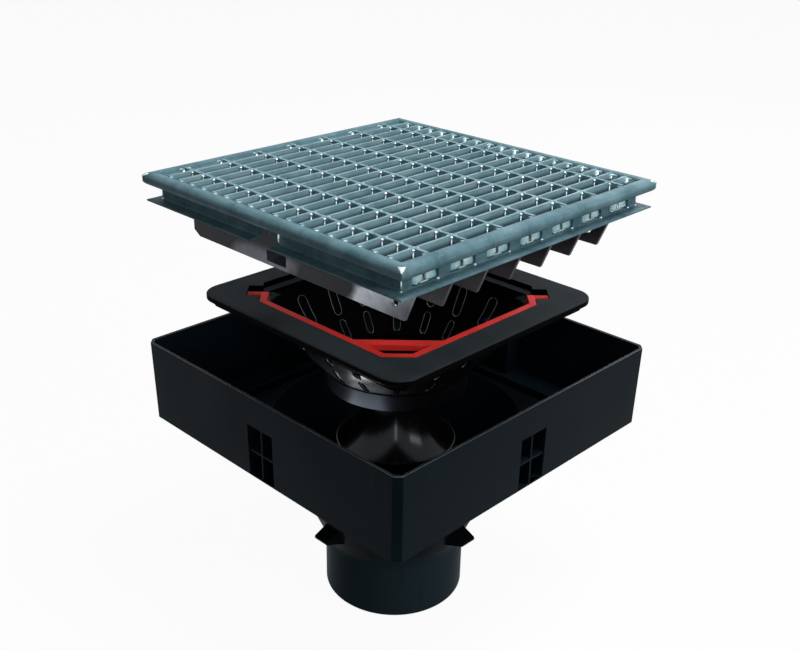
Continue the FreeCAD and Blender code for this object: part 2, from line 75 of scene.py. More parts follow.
class Shader:
    """One node material under construction.

    PATTERN_RANGE holds most of a pattern's values. MIX_A, MIX_B and MIX_RESULT are a mix node's sockets for colours.
    The lengths of along() reach LENGTH_REACH to each side of the middle, lean by LENGTH_SLANT, stand at their stated
    places at LENGTH_HEIGHT and wander by LENGTH_STIR.
    """

    PATTERN_RANGE = (0.3, 0.7)
    MIX_A, MIX_B, MIX_RESULT = 6, 7, 2
    LENGTH_REACH = 0.15
    LENGTH_SLANT = 0.9
    LENGTH_HEIGHT = 0.3
    LENGTH_STIR = 0.02

    def __init__(self, name: str) -> None:
        """Starts a material with its principled shader and Object coordinates.

        Args:
            name: the material's name.
        """
        self.material = bpy.data.materials.new(name)
        self.material.use_nodes = True
        self.tree = self.material.node_tree
        self.surface = self.tree.nodes["Principled BSDF"]
        self.coordinates = self.tree.nodes.new("ShaderNodeTexCoord").outputs["Object"]

    def feed(self, node: bpy.types.Node, inputs: dict[str | int, Input]) -> None:
        """Gives a node's inputs what they read.

        Args:
            node: the node.
            inputs: outputs, numbers or colours, by the input's name or index.
        """
        for key, value in inputs.items():
            if isinstance(value, Socket):
                self.tree.links.new(value, node.inputs[key])
            else:
                node.inputs[key].default_value = value

    def node(self, kind: str, inputs: dict[str | int, Input], **settings: str) -> bpy.types.Node:
        """Adds a node.

        Args:
            kind: the node's type name.
            inputs: what its inputs read.
            settings: properties of the node by name.

        Returns:
            The new node.
        """
        made = self.tree.nodes.new(kind)
        for key, value in settings.items():
            setattr(made, key, value)
        self.feed(made, inputs)
        return made

    def maths(self, operation: str, *values: Input) -> Socket:
        """Adds a sum.

        Args:
            operation: the sum's kind.
            values: its outputs and numbers, in order.

        Returns:
            The result.
        """
        return self.node("ShaderNodeMath", dict(enumerate(values)), operation=operation).outputs["Value"]

    def axis(self, name: str) -> Socket:
        """Adds one axis of the Object coordinates as an output."""
        return self.node("ShaderNodeSeparateXYZ", {"Vector": self.coordinates}).outputs[name]

    def pattern(self, kind: Noise, scale: float, stretch: Point = EVEN, detail: float = 3) -> Socket:
        """Adds a pattern on Object coordinates.

        Args:
            kind: which pattern.
            scale: repeats in a metre.
            stretch: scale of the coordinates along each axis.
            detail: octaves of a cloud.

        Returns:
            The pattern's output.
        """
        mapping = self.node("ShaderNodeMapping", {"Scale": stretch, "Vector": self.coordinates})
        made = self.node(kind.value, {"Scale": scale, "Vector": mapping.outputs["Vector"]})
        if kind is Noise.CRYSTAL:
            return made.outputs["Color"]
        self.feed(made, {"Detail": detail})
        return made.outputs["Fac"]

    def ramp(self, source: Socket, stops: Iterable[tuple[float, Colour]]) -> Socket:
        """Adds a colour ramp.

        Args:
            source: the value that it reads.
            stops: places and colours, in order.

        Returns:
            The ramp's colour output.
        """
        made = self.node("ShaderNodeValToRGB", {"Fac": source})
        elements = made.color_ramp.elements
        for index, (place, colour) in enumerate(stops):
            element = elements[index] if index < 2 else elements.new(place)
            element.position = place
            element.color = (*colour, 1)
        return made.outputs["Color"]

    def mixed(self, share: Socket, low: Socket | Colour, high: Socket | Colour) -> Socket:
        """Mixes two colours by a share.

        Args:
            share: how much of the second colour shows.
            low: the first colour, or the output that gives it.
            high: the second colour, or the output that gives it.

        Returns:
            The mixed colour.
        """
        low, high = (end if isinstance(end, Socket) else (*end, 1) for end in (low, high))
        inputs = {"Factor": share, self.MIX_A: low, self.MIX_B: high}
        return self.node("ShaderNodeMix", inputs, data_type="RGBA").outputs[self.MIX_RESULT]

    def remap(self, source: Socket, start: Pair = (0, 1), end: Pair = (0, 1), **settings: str) -> Socket:
        """Maps one range of values to another.

        Args:
            source: the value.
            start: the range that it has.
            end: the range that it gets.
            settings: properties of the node by name.

        Returns:
            The mapped value.
        """
        inputs = dict(zip(("Value", "From Min", "From Max", "To Min", "To Max"), (source, *start, *end)))
        return self.node("ShaderNodeMapRange", inputs, **settings).outputs["Result"]

    def spread(self, source: Socket, low: float, high: float) -> Socket:
        """Maps a pattern's middle range to two values, at its dark end and at its light end."""
        return self.remap(source, self.PATTERN_RANGE, (low, high))

    def height(self, low: float, high: float) -> Socket:
        """Adds a smooth share that is 0 below one height above the floor, in metres, and 1 above another."""
        return self.remap(self.axis("Z"), (low, high), interpolation_type="SMOOTHSTEP")

    def along(self, stops: Stops, stir: Socket) -> Socket:
        """Adds a share that changes along the Y axis, with its borders stirred by a pattern; the bearing bars' painted
        reflections are laid out with it.

        Args:
            stops: places in metres and shares there, in order.
            stir: the pattern's output.

        Returns:
            The share.
        """
        reach, slant = self.LENGTH_REACH, self.LENGTH_SLANT
        lean = self.maths("MULTIPLY_ADD", self.axis("Z"), slant, -slant * self.LENGTH_HEIGHT)
        place = self.maths("ADD", self.axis("Y"), lean)
        shift = self.maths("MULTIPLY_ADD", stir, self.LENGTH_STIR, place)
        places = [((y + reach) / (2 * reach), (share,) * 3) for y, share in stops]
        return self.ramp(self.remap(shift, (-reach, reach)), places)

    def bump(self, height: Socket, strength: float, depth: float) -> None:
        """Adds a bump on top of those added before it.

        Args:
            height: the pattern's output.
            strength: how strongly it shows.
            depth: its height in metres.
        """
        made = self.node("ShaderNodeBump", {"Strength": strength, "Distance": depth, "Height": height})
        normal = self.surface.inputs["Normal"]
        if normal.is_linked:
            self.feed(made, {"Normal": normal.links[0].from_socket})
        self.feed(self.surface, {"Normal": made.outputs["Normal"]})


@dataclass(frozen=True)
class ZincFinish:
    """Hot-dip galvanised steel: dull clouds, faint crystals, drawn streaks, a slightly lumpy skin and, where it is
    given, painted shade: the colour darkens towards shade below a height.
    """

    name: str
    dark: Colour
    middle: Colour
    light: Colour
    metal: float
    rough_low: float
    rough_high: float
    cloud: float
    crystal: float
    grain: float
    streak: float
    gloss: float
    lump: float = 0.2
    # painted shade: between painted_shade_high and painted_shade_low the colour darkens to shade, standing in for the
    # shade deep between the bars
    painted_shade_low: float = 0.0
    painted_shade_high: float = 0.001
    shade: Colour = (0.0, 0.0, 0.0)
    stops: Point = (0.28, 0.5, 0.74)
    flattened: Point = (1, 1, 0.6)
    drawn: Point = (0.05, 0.05, 1)
    streak_scale: float = 620.0
    lump_scale: float = 330.0
    lump_depth: float = 0.0006

    def build(self) -> Material:
        """Builds the finish.

        Returns:
            The material.
        """
        shader = Shader(self.name)
        clouds = shader.pattern(Noise.CLOUD, self.cloud)
        crystals = shader.pattern(Noise.CRYSTAL, self.crystal, self.flattened)
        streaks = shader.pattern(Noise.CLOUD, self.streak_scale, self.drawn, detail=2)
        lumps = shader.pattern(Noise.CLOUD, self.lump_scale, detail=2)
        colour = shader.ramp(clouds, zip(self.stops, (self.dark, self.middle, self.light)))
        colour = shader.mixed(shader.spread(crystals, 0, self.grain), colour, self.light)
        colour = shader.mixed(shader.spread(streaks, 0, self.streak), colour, self.dark)
        # deep is the share of painted shade, 1 low down between the bars
        deep = shader.remap(shader.height(self.painted_shade_low, self.painted_shade_high), end=(1, 0))
        shader.feed(shader.surface, {
            "Base Color": shader.mixed(deep, colour, self.shade),
            "Metallic": self.metal,
            "Specular IOR Level": self.gloss,
            "Roughness": shader.spread(clouds, self.rough_high, self.rough_low),
        })
        shader.bump(lumps, self.lump, self.lump_depth)
        return shader.material


@dataclass(frozen=True)
class PlateFinish:
    """Bearing bars: dull zinc on top, and rolled plate below whose colour paints its reflections: light lengths along
    the bar over a dark plate.
    """

    name: str
    top: ZincFinish
    # painted reflections: the dark plate colour and the light lengths set along Y stand in for the reflections in the
    # bar's side
    plate_painted_shade: Colour
    plate_painted_highlight: Colour
    change_low: float
    change_high: float
    metal: float
    rough: float
    lengths: Stops
    painted_foot_reflections: Stops
    foot_low: float = 0.297
    foot_high: float = 0.306
    dull_metal: float = 0.1
    cloud: float = 70.0
    flattened: Point = (1, 1, 0.7)
    crystal: float = 240.0
    grain: float = 0.15
    stops: Point = (0.3, 0.5, 0.72)
    lump: float = 0.12
    lump_scale: float = 300.0
    lump_depth: float = 0.0005

    def build(self) -> Material:
        """Builds the finish.

        Returns:
            The material.
        """
        shader = Shader(self.name)
        top = self.top
        height = shader.height(self.change_low, self.change_high)
        clouds = shader.pattern(Noise.CLOUD, self.cloud, self.flattened)
        grains = shader.pattern(Noise.CRYSTAL, self.crystal)
        lumps = shader.pattern(Noise.CLOUD, self.lump_scale, detail=2)
        # painted reflections: shares of the light lengths, over all of the plate and on its foot
        painted_plate_reflection = shader.along(self.lengths, clouds)
        foot = shader.along(self.painted_foot_reflections, clouds)
        painted_highlight = shader.mixed(shader.height(self.foot_low, self.foot_high), foot, painted_plate_reflection)
        plate = shader.mixed(painted_highlight, self.plate_painted_shade, self.plate_painted_highlight)
        plate = shader.mixed(shader.spread(grains, 0, self.grain), plate, self.plate_painted_shade)
        dull = shader.ramp(lumps, zip(self.stops, (top.dark, top.middle, top.light)))
        # painted shade on the zinc top, as in ZincFinish
        deep = shader.remap(shader.height(top.painted_shade_low, top.painted_shade_high), end=(1, 0))
        dull = shader.mixed(deep, dull, top.shade)
        metal = shader.mixed(painted_highlight, (self.dull_metal,) * 3, (self.metal,) * 3)
        shader.feed(shader.surface, {
            "Base Color": shader.mixed(height, plate, dull),
            "Metallic": shader.mixed(height, metal, (top.metal,) * 3),
            "Specular IOR Level": top.gloss,
            "Roughness": shader.remap(height, end=(self.rough, top.rough_high)),
        })
        shader.bump(lumps, self.lump, self.lump_depth)
        return shader.material


@dataclass(frozen=True)
class PaintedSkinReflection:
    """Zinc skins in the windows of the edge, with a painted reflection: light in the middle of each window and dull at
    its sides.
    """

    name: str
    dark: Colour
    light: Colour
    pitch: float
    reach: float
    metal: float
    rough: float
    cloud: float = 260.0
    stretched: Point = (0.5, 1, 1.5)
    least: float = 0.5
    most: float = 1.3
    lump: float = 0.25
    lump_depth: float = 0.0008

    def build(self) -> Material:
        """Builds the finish.

        Returns:
            The material.
        """
        shader = Shader(self.name)
        clouds = shader.pattern(Noise.CLOUD, self.cloud, self.stretched)
        local = shader.maths("WRAP", shader.axis("X"), -self.pitch / 2, self.pitch / 2)
        side = shader.remap(shader.maths("ABSOLUTE", local), (self.reach, 0), interpolation_type="SMOOTHSTEP")
        # painted reflection: its share is highest in the middle of each window
        stirred = shader.maths("MULTIPLY", side, shader.spread(clouds, self.least, self.most))
        shader.feed(shader.surface, {
            "Base Color": shader.mixed(stirred, self.dark, self.light),
            "Metallic": self.metal,
            "Roughness": self.rough,
        })
        shader.bump(clouds, self.lump, self.lump_depth)
        return shader.material


@dataclass(frozen=True)
class MouldedFinish:
    """Moulded plastic: a fine grain, cloudy gloss, pale scuffs and, where it is given, painted light: a lighter colour
    low down.
    """

    name: str
    colour: Colour
    pale: Colour
    scuff: Colour
    rough_low: float
    rough_high: float
    gloss: float
    tint: Colour = (1.0, 1.0, 1.0)
    grain: float = 0.12
    # painted light: low is blended in below painted_light_top, lighter than the plastic above
    low: Colour = (0.0, 0.0, 0.0)
    painted_light_foot: float = 0.0
    painted_light_top: float = 0.0
    cloud: float = 22.0
    stops: Pair = (0.32, 0.7)
    wave: float = 0.05
    wave_depth: float = 0.002
    grain_scale: float = 1500.0
    grain_depth: float = 0.0001
    scuff_scale: float = 160.0
    drawn: Point = (1, 1, 0.12)
    scuff_stops: Stops = ((0.6, 0.0), (0.78, 0.35))

    def build(self) -> Material:
        """Builds the finish.

        Returns:
            The material.
        """
        shader = Shader(self.name)
        clouds = shader.pattern(Noise.CLOUD, self.cloud, detail=4)
        grain = shader.pattern(Noise.CLOUD, self.grain_scale, detail=2)
        scuffs = shader.pattern(Noise.CLOUD, self.scuff_scale, self.drawn, detail=5)
        shade = shader.ramp(clouds, zip(self.stops, (self.colour, self.pale)))
        # painted light low down
        if self.painted_light_top > self.painted_light_foot:
            shade = shader.mixed(shader.height(self.painted_light_foot, self.painted_light_top), self.low, shade)
        marks = shader.ramp(scuffs, [(place, (share,) * 3) for place, share in self.scuff_stops])
        shader.feed(shader.surface, {
            "Base Color": shader.mixed(marks, shade, self.scuff),
            "Roughness": shader.spread(clouds, self.rough_low, self.rough_high),
            "Specular IOR Level": self.gloss,
            "Specular Tint": (*self.tint, 1),
        })
        shader.bump(grain, self.grain, self.grain_depth)
        shader.bump(clouds, self.wave, self.wave_depth)
        return shader.material


FRAME_ZINC = ZincFinish(
    "frame_zinc", (0.075, 0.158, 0.192), (0.135, 0.258, 0.306), (0.235, 0.392, 0.448), metal=0.0,
    rough_low=0.42, rough_high=0.55, cloud=46.0, crystal=260.0, grain=0.3, streak=0.45, gloss=0.08, lump=0.34,
)
# painted shade: the cross bars darken from 1.6 mm below their top to 5.6 mm below it, where the shade falls between
# them
MESH_ZINC = ZincFinish(
    "mesh_zinc", (0.165, 0.305, 0.36), (0.24, 0.4, 0.455), (0.345, 0.52, 0.575), metal=0.0,
    rough_low=0.4, rough_high=0.55, cloud=60.0, crystal=220.0, grain=0.2, streak=0.1, gloss=0.12,
    painted_shade_low=0.3334, painted_shade_high=0.3374, shade=(0.075, 0.14, 0.168),
)
# painted highlight: near-white zinc on the beads, pools, welds and corner patch, standing in for the glints on the
# zinc
PAINTED_HIGHLIGHT_ZINC = ZincFinish(
    "painted_highlight_zinc", (0.74, 0.93, 0.96), (0.82, 0.97, 0.99), (0.9, 0.99, 1.0), metal=0.55,
    rough_low=0.2, rough_high=0.3, cloud=120.0, crystal=300.0, grain=0.2, streak=0.0, gloss=0.6,
)
# painted highlight: light teal zinc on the edge fillets, standing in for the light caught where the cells end at the
# edge
POOL_PAINTED_HIGHLIGHT = ZincFinish(
    "pool_zinc", (0.3, 0.5, 0.55), (0.46, 0.67, 0.72), (0.78, 0.94, 0.97), metal=0.15,
    rough_low=0.3, rough_high=0.45, cloud=150.0, crystal=300.0, grain=0.25, streak=0.0, gloss=0.3,
)
# painted reflection: near-white teal in the middle of each window
SKIN_PAINTED_REFLECTION = PaintedSkinReflection(
    "skin_painted_reflection", (0.26, 0.58, 0.67), (0.84, 1.0, 1.0), pitch=BAR_PITCH, reach=0.0125, metal=0.85, rough=0.28,
)
# painted reflections: a near-black plate with pale lavender lengths near the front corner and on the foot
SIDE_PLATE = PlateFinish(
    "side_plate", MESH_ZINC, (0.014, 0.018, 0.024), (0.76, 0.8, 0.9),
    change_low=0.3145, change_high=0.3185, metal=0.7, rough=0.32,
    lengths=((-0.12, 0.12), (-0.098, 0.3), (-0.078, 0.66), (-0.056, 0.85), (-0.046, 0.03), (0.114, 0.0)),
    painted_foot_reflections=(
        (-0.12, 0.12), (-0.098, 0.22), (-0.078, 0.5), (-0.056, 0.8), (-0.046, 0.03), (-0.002, 0.06), (0.015, 0.36),
        (0.06, 0.28), (0.07, 0.0),
    ),
)
# painted reflections: the fins' plate lighter towards their front ends
FIN_PAINTED_REFLECTIONS: Stops = ((-0.12, 0.7), (-0.09, 0.4), (-0.06, 0.15), (0.114, 0.0))
FIN_PLATE = PlateFinish(
    "fin_plate", MESH_ZINC, (0.045, 0.045, 0.052), (0.2, 0.195, 0.215),
    change_low=0.3145, change_high=0.3185, metal=0.45, rough=0.42, lengths=FIN_PAINTED_REFLECTIONS, painted_foot_reflections=FIN_PAINTED_REFLECTIONS,
)
BLACK = MouldedFinish(
    "black_plastic", (0.003, 0.0073, 0.0108), (0.0052, 0.0105, 0.0145), (0.013, 0.02, 0.027),
    rough_low=0.4, rough_high=0.52, gloss=0.03, tint=(0.5, 0.86, 1.0),
)
# painted shade: darker black for the inside of the bowl and the sides of the bucket
PAINTED_SHADE_BLACK = MouldedFinish(
    "pit_painted_shade", (0.0016, 0.0014, 0.0016), (0.0026, 0.0022, 0.0024), (0.004, 0.0036, 0.004),
    rough_low=0.5, rough_high=0.6, gloss=0.01, tint=(0.9, 0.95, 1.0),
)
# painted highlight: light grey, far lighter than the bucket, for the thin rims along the slots' edges
SLOT_RIM_PAINTED_HIGHLIGHT = MouldedFinish(
    "slot_edge_painted_highlight", (0.06, 0.062, 0.066), (0.08, 0.082, 0.086), (0.1, 0.102, 0.105),
    rough_low=0.16, rough_high=0.24, gloss=1.0,
)
# painted highlight: light grey for the rounded edges of the tray's rim
RIM_PAINTED_HIGHLIGHT = MouldedFinish(
    "rim_painted_highlight", (0.05, 0.055, 0.06), (0.075, 0.08, 0.085), (0.1, 0.11, 0.115),
    rough_low=0.3, rough_high=0.4, gloss=0.3, tint=(0.9, 0.97, 1.0),
)
GLOSS_BLACK = MouldedFinish(
    "bowl_plastic", (0.003, 0.003, 0.004), (0.005, 0.005, 0.006), (0.012, 0.012, 0.015),
    rough_low=0.24, rough_high=0.32, gloss=0.17, tint=(0.6, 0.78, 1.0), grain=0.04,
)
BELL_BLACK = MouldedFinish(
    "bell_plastic", (0.004, 0.004, 0.005), (0.006, 0.006, 0.007), (0.01, 0.01, 0.012),
    rough_low=0.15, rough_high=0.19, gloss=0.24, tint=(0.86, 0.93, 1.0), grain=0.03,
)
# painted shade: the bell's foot and crown in the darker black, without gloss
FOOT_PAINTED_SHADE = replace(PAINTED_SHADE_BLACK, name="foot_painted_shade", gloss=0.0)
# painted light: the flange's top much lighter than the other blacks, standing in for light that the grating's shadow
# keeps off it
FLANGE_PAINTED_LIGHT = replace(
    BLACK, name="flange_painted_light", colour=(0.034, 0.043, 0.049), pale=(0.041, 0.051, 0.058),
    scuff=(0.055, 0.066, 0.074), gloss=0.01,
)
# painted shade and light: the funnel darker than the tray, under the tray's shade, and the lower pipe lighter, as lit
FUNNEL_PAINTED_SHADE_PIPE_LIGHT = replace(
    BLACK, name="funnel_painted_shade_pipe_light", colour=(0.0022, 0.0035, 0.0048), pale=(0.0034, 0.005, 0.0066),
    gloss=0.012, low=(0.026, 0.044, 0.055), painted_light_foot=0.042, painted_light_top=0.066,
)
RED = MouldedFinish(
    "red_plastic", (0.93, 0.036, 0.032), (0.98, 0.045, 0.038), (0.98, 0.12, 0.1),
    rough_low=0.36, rough_high=0.5, gloss=0.07,
)


@dataclass(frozen=True)
class Edges:
    """How the sharp edges of a piece are rounded off."""

    width: float
    merge: float = 2e-6
    angle: float = 35.0
    flat: float = 0.5
    segments: int = 2
    finish: int = -1


def placed(name: str, data: bpy.types.ID) -> Piece:
    """Makes an object and adds it to the scene.

    Args:
        name: the object's name.
        data: its mesh, curve, lamp or lens.

    Returns:
        The object.
    """
    made = bpy.data.objects.new(name, data)
    bpy.context.scene.collection.objects.link(made)
    return made


def smooth_mesh(form: bmesh.types.BMesh, name: str) -> bpy.types.Mesh:
    """Turns a mesh under construction into a smooth mesh.

    Args:
        form: the mesh under construction, which is freed.
        name: the mesh's name.

    Returns:
        The mesh.
    """
    for face in form.faces:
        face.smooth = True
    mesh = bpy.data.meshes.new(name)
    form.to_mesh(mesh)
    form.free()
    return mesh


def plain_mesh(source: Piece, name: str) -> Piece:
    """Turns an object with live modifiers into a plain mesh object at the origin.

    Args:
        source: the object, which is removed.
        name: the new piece's name.

    Returns:
        The new piece.
    """
    graph = bpy.context.evaluated_depsgraph_get()
    mesh = bpy.data.meshes.new_from_object(source.evaluated_get(graph))
    bpy.data.objects.remove(source)
    return placed(name, mesh)


def softened(
    node: str, name: str, body: str, edges: Edges, finishes: list[Material],
    pick: Callable[[Vector, Vector], int] = lambda centre, normal: 0,
) -> Piece:
    """Makes a copy of a CAD node with its sharp edges rounded off, which stands for the node.

    Args:
        node: the node's name.
        name: the new piece's name.
        body: the body that it rides on.
        edges: how the edges are rounded, and the index of the finish that they take.
        finishes: the materials that it shows.
        pick: gives the index of the finish for a face's centre and normal.

    Returns:
        The new piece.
    """
    form = bmesh.new()
    form.from_mesh(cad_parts[node].data)
    bmesh.ops.remove_doubles(form, verts=form.verts, dist=edges.merge)
    bmesh.ops.dissolve_limit(form, angle_limit=math.radians(edges.flat), verts=form.verts, edges=form.edges)
    for face in form.faces:
        face.material_index = pick(face.calc_center_median(), face.normal)
    mesh = smooth_mesh(form, name)
    for finish in finishes:
        mesh.materials.append(finish)
    source = placed(name + "_source", mesh)
    bevel = source.modifiers.new("round", "BEVEL")
    bevel.width = edges.width
    bevel.segments = edges.segments
    bevel.limit_method = "ANGLE"
    bevel.angle_limit = math.radians(edges.angle)
    bevel.material = edges.finish
    source.modifiers.new("normals", "WEIGHTED_NORMAL").keep_sharp = True
    piece = plain_mesh(source, name)
    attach(piece, body)
    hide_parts(node)
    return piece


class ZincBeads:
    """Geometry Nodes tree that sets a small zinc shape on a cloud of turned points.

    CHANCE_MIN, CHANCE_MAX and CHANCE_RESULT are a random value node's sockets for numbers.
    """

    INPUTS = {"Points": "Geometry", "Shape": "Object", "Spread": "Float", "Seed": "Int", "Finish": "Material"}
    CHANCE_MIN, CHANCE_MAX, CHANCE_RESULT = 2, 3, 1

    def __init__(self) -> None:
        """Builds the tree with its named inputs."""
        self.tree = bpy.data.node_groups.new("zinc_beads", "GeometryNodeTree")
        face = self.tree.interface
        self.keys = {
            name: face.new_socket(name, in_out="INPUT", socket_type="NodeSocket" + kind).identifier
            for name, kind in self.INPUTS.items()
        }
        face.new_socket("Beads", in_out="OUTPUT", socket_type="NodeSocketGeometry")
        self._wire()

    def _stored(self, name: str) -> Socket:
        """Adds a vector that is stored on the points.

        Args:
            name: the vector's name.

        Returns:
            Its output.
        """
        made = self.tree.nodes.new("GeometryNodeInputNamedAttribute")
        made.data_type = "FLOAT_VECTOR"
        made.inputs["Name"].default_value = name
        return made.outputs["Attribute"]

    def _wire(self) -> None:
        """Adds and joins the tree's nodes."""
        nodes = self.tree.nodes
        start, end = nodes.new("NodeGroupInput").outputs, nodes.new("NodeGroupOutput")
        shape = nodes.new("GeometryNodeObjectInfo")
        euler = nodes.new("FunctionNodeEulerToRotation")
        least = nodes.new("ShaderNodeMath")
        least.operation = "SUBTRACT"
        least.inputs[0].default_value = 1.0
        chance = nodes.new("FunctionNodeRandomValue")
        chance.data_type = "FLOAT"
        chance.inputs[self.CHANCE_MAX].default_value = 1.0
        scaled = nodes.new("ShaderNodeVectorMath")
        scaled.operation = "SCALE"
        place = nodes.new("GeometryNodeInstanceOnPoints")
        real = nodes.new("GeometryNodeRealizeInstances")
        paint = nodes.new("GeometryNodeSetMaterial")
        for source, target in (
            (start["Points"], place.inputs["Points"]),
            (start["Shape"], shape.inputs["Object"]),
            (shape.outputs["Geometry"], place.inputs["Instance"]),
            (self._stored("turn"), euler.inputs["Euler"]),
            (euler.outputs["Rotation"], place.inputs["Rotation"]),
            (start["Spread"], least.inputs[1]),
            (least.outputs["Value"], chance.inputs[self.CHANCE_MIN]),
            (start["Seed"], chance.inputs["Seed"]),
            (self._stored("size"), scaled.inputs[0]),
            (chance.outputs[self.CHANCE_RESULT], scaled.inputs["Scale"]),
            (scaled.outputs["Vector"], place.inputs["Scale"]),
            (place.outputs["Instances"], real.inputs["Geometry"]),
            (real.outputs["Geometry"], paint.inputs["Geometry"]),
            (start["Finish"], paint.inputs["Material"]),
            (paint.outputs["Geometry"], end.inputs["Beads"]),
        ):
            self.tree.links.new(source, target)

    def build(
        self, name: str, shape: Piece, seats: list[Seat], spread: float, seed: int, finish: Material,
    ) -> Piece:
        """Makes one piece of beads.

        Args:
            name: the piece's name.
            shape: object whose mesh is repeated.
            seats: place, turn and size of each bead.
            spread: largest share that a bead may be smaller than its size.
            seed: seed of the spread.
            finish: the beads' material.

        Returns:
            The finished piece as a plain mesh.
        """
        mesh = bpy.data.meshes.new(name)
        mesh.from_pydata([seat[0] for seat in seats], [], [])
        for key, index in (("turn", 1), ("size", 2)):
            values = mesh.attributes.new(key, "FLOAT_VECTOR", "POINT")
            values.data.foreach_set("vector", [number for seat in seats for number in seat[index]])
        cloud = placed(name + "_seats", mesh)
        maker = cloud.modifiers.new("beads", "NODES")
        maker.node_group = self.tree
        for key, value in (("Shape", shape), ("Spread", spread), ("Seed", seed), ("Finish", finish)):
            maker[self.keys[key]] = value
        return plain_mesh(cloud, name)


def close_rings(form: bmesh.types.BMesh, rings: list[list[bmesh.types.BMVert]]) -> None:
    """Closes a stack of rings into a solid's skin.

    Args:
        form: the mesh under construction.
        rings: the rings' vertices, from the top ring down.
    """
    count = len(rings[0])
    for upper, lower in zip(rings, rings[1:]):
        for index in range(count):
            after = (index + 1) % count
            form.faces.new((upper[index], lower[index], lower[after], upper[after]))
    form.faces.new(rings[0])
    form.faces.new(list(reversed(rings[-1])))


def loose_shape(form: bmesh.types.BMesh, name: str) -> Piece:
    """Turns a mesh under construction into a smooth object that isn't part of the scene.

    Args:
        form: the mesh, which is freed.
        name: the object's name.

    Returns:
        The object.
    """
    bmesh.ops.recalc_face_normals(form, faces=form.faces)
    return bpy.data.objects.new(name, smooth_mesh(form, name))


@dataclass(frozen=True)
class CornerFillet:
    """Unit fillet of run-in zinc: a hollow face between two walls, from its top at z 0 down to z -1."""

    rings: Stops = ((0.0, 0.5), (-0.04, 1.2), (-0.12, 1.5), (-0.25, 1.0), (-0.7, 0.8), (-1.0, 0.2))
    sunk: float = -0.08
    steps: int = 4

    def build(self) -> Piece:
        """Makes the shape.

        Returns:
            The loose object.
        """
        form = bmesh.new()
        rings = []
        for height, size in self.rings:
            ring = [form.verts.new((self.sunk, self.sunk, height)), form.verts.new((size, self.sunk, height))]
            for step in range(self.steps + 1):
                angle = math.radians(270 - 90 / self.steps * step)
                ring.append(form.verts.new((size + size * math.cos(angle), size + size * math.sin(angle), height)))
            ring.append(form.verts.new((self.sunk, size, height)))
            rings.append(ring)
        close_rings(form, rings)
        return loose_shape(form, "corner_fillet")


def round_bead() -> Piece:
    """Makes a unit bead of zinc.

    Returns:
        The loose object.
    """
    form = bmesh.new()
    bmesh.ops.create_icosphere(form, subdivisions=2, radius=1.0)
    return loose_shape(form, "round_bead")


@dataclass(frozen=True)
class WavySkin:
    """Unit skin of zinc that leans back, with runs in its face: waves by size, turns along X and Z, and start."""

    across: int = 8
    up: int = 6
    lean: float = 0.75
    thickness: float = 0.12
    waves: tuple[tuple[float, float, float, float], ...] = ((0.1, 7.0, 2.2, 0.0), (0.08, -5.0, 4.1, 1.0))

    def build(self) -> Piece:
        """Makes the shape.

        Returns:
            The loose object.
        """
        form = bmesh.new()
        grid = []
        for row in range(self.up + 1):
            z = row / self.up
            line = []
            for column in range(self.across + 1):
                x = column / self.across
                run = sum(size * math.sin(along * x + rise * z + begin) for size, along, rise, begin in self.waves)
                line.append(form.verts.new((x, self.lean * z + run, z)))
            grid.append(line)
        for lower, upper in zip(grid, grid[1:]):
            for column in range(self.across):
                form.faces.new((lower[column], lower[column + 1], upper[column + 1], upper[column]))
        bmesh.ops.solidify(form, geom=form.faces[:], thickness=self.thickness)
        return loose_shape(form, "wavy_skin")


@dataclass(frozen=True)
class PaintedCornerHighlight:
    """Zinc on the mitred corner at +X +Y, a flush patch that paints the highlight there: wide at the nose's top and
    drawn to a point on its side.
    """

    crown: float
    radius: float
    top: float
    rings: Stops = ((68, 0.002), (62, 0.0046), (52, 0.0048), (41, 0.0034), (30, 0.002), (20, 0.001))
    edge: float = -0.0001
    proud: float = 0.00022
    sunk: float = -0.0006

    def build(self) -> Piece:
        """Makes the shape.

        Returns:
            The loose object.
        """
        form = bmesh.new()
        rings = []
        for tilt, width in self.rings:
            side, lift = math.cos(math.radians(tilt)), math.sin(math.radians(tilt))
            ring = []
            for dx, dy, proud in ((width, 0, self.edge), (0, 0, self.proud), (0, width, self.edge), (0, 0, self.sunk)):
                reach = self.crown + (self.radius + proud) * side
                height = self.top - self.radius + (self.radius + proud) * lift
                ring.append(form.verts.new((reach - dx, reach - dy, height)))
            rings.append(ring)
        close_rings(form, rings)
        return loose_shape(form, "corner_patch")


@dataclass(frozen=True)
class Bead:
    """One bead of zinc: its offset from the feature that it sits on, and its size."""

    offset: Point
    size: Point

    def seat(self, feature: Point, sx: int = 1, sy: int = 1, turn: Point = LEVEL) -> Seat:
        """Seats the bead on a feature.

        Args:
            feature: the feature's place.
            sx: sign of the offset along X.
            sy: sign of the offset along Y.
            turn: the bead's turn.

        Returns:
            Place, turn and size of the bead.
        """
        x, y, z = feature
        dx, dy, dz = self.offset
        return (x + sx * dx, y + sy * dy, z + dz), turn, self.size


